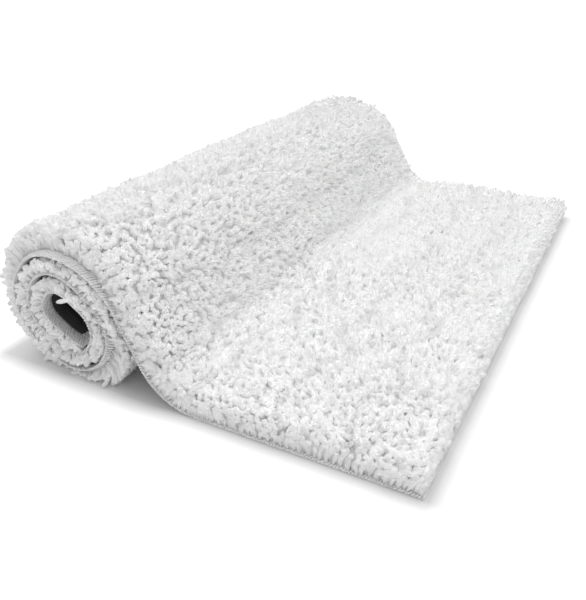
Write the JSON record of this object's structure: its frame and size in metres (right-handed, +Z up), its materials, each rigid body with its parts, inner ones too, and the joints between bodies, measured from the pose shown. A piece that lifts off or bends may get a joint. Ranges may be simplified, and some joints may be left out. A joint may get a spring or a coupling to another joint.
{
  "type": "bath mat",
  "caption": "Rectangular shaggy bath mat, half laid flat with the pile up and half rolled up underneath itself, with overlocked edges and a dark non-slip underside.",
  "frame": {"origin": "on the floor, in the middle of the footprint", "axes": "+X along the mat to its flat end, with the roll at -X; +Y across the mat, along the roll; +Z up"},
  "size_m": [0.339, 0.5, 0.1165],
  "materials": {
    "pile_yarn": "soft fluffy white microfibre yarn",
    "base_cloth": "matt white woven cloth",
    "nonslip_rubber": "matt dark textured rubber coating",
    "overlock_thread": "white overlock thread, soft",
    "needle_thread": "white sewing thread, slight sheen"
  },
  "bodies": {
    "root": {"yarn_pile": "pile_yarn", "base_cloth": "base_cloth", "nonslip_coating": "nonslip_rubber", "overlock_near_side": "overlock_thread", "overlock_far_side": "overlock_thread", "overlock_flat_end": "overlock_thread", "overlock_rolled_end": "overlock_thread", "needle_thread_near_side": "needle_thread", "needle_thread_far_side": "needle_thread", "needle_thread_flat_end": "needle_thread", "needle_thread_rolled_end": "needle_thread"}
  },
  "joints": []
}
